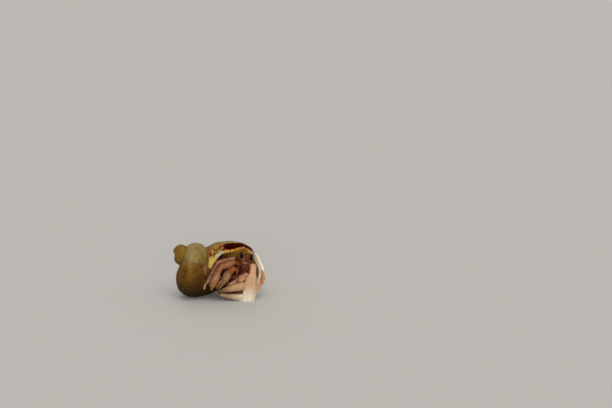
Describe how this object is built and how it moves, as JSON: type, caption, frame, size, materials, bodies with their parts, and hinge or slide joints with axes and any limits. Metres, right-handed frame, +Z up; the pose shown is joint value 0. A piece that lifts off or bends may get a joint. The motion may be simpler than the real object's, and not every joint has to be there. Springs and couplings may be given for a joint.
{
  "type": "hermit crab in a turban shell",
  "caption": "Land hermit crab half drawn into a worn turban shell, its big left claw and folded legs closing the mouth; a still life-size display model that rests on its shell and claw.",
  "frame": {"origin": "under the middle of the whole model's box, on the surface it rests on", "axes": "+X from the spire's tip towards the shell's outer lip, -Y the way the crab faces, +Z up"},
  "size_m": [0.033, 0.0232, 0.0207],
  "materials": {
    "shell": "satin",
    "claws": "satin",
    "legs": "satin",
    "body": "satin",
    "soft_body": "matt",
    "mouthparts": "satin",
    "eyestalks": "satin",
    "eyes": "gloss"
  },
  "bodies": {
    "root": {"abdomen_front": "soft_body", "abdomen_middle": "soft_body", "abdomen_rear": "soft_body", "left_antenna": "body", "left_antenna_base": "body", "left_antennule": "mouthparts", "left_claw_carpus": "claws", "left_claw_finger": "claws", "left_claw_merus": "claws", "left_claw_palm": "claws", "left_eye": "eyes", "left_eyestalk": "eyestalks", "left_fifth_leg": "legs", "left_fourth_leg": "legs", "left_front_leg_carpus": "legs", "left_front_leg_dactyl": "legs", "left_front_leg_merus": "legs", "left_front_leg_propodus": "legs", "left_mouthpart": "mouthparts", "left_rear_leg_carpus": "legs", "left_rear_leg_dactyl": "legs", "left_rear_leg_merus": "legs", "left_rear_leg_propodus": "legs", "leg_bases": "mouthparts", "mouth": "mouthparts", "rear_carapace": "soft_body", "right_antenna": "body", "right_antenna_base": "body", "right_antennule": "mouthparts", "right_claw_carpus": "claws", "right_claw_finger": "claws", "right_claw_merus": "claws", "right_claw_palm": "claws", "right_eye": "eyes", "right_eyestalk": "eyestalks", "right_fifth_leg": "legs", "right_fourth_leg": "legs", "right_front_leg_carpus": "legs", "right_front_leg_dactyl": "legs", "right_front_leg_merus": "legs", "right_front_leg_propodus": "legs", "right_mouthpart": "mouthparts", "right_rear_leg_carpus": "legs", "right_rear_leg_dactyl": "legs", "right_rear_leg_merus": "legs", "right_rear_leg_propodus": "legs", "shell": "shell", "shield": "body", "tail_fan": "soft_body"}
  },
  "joints": []
}
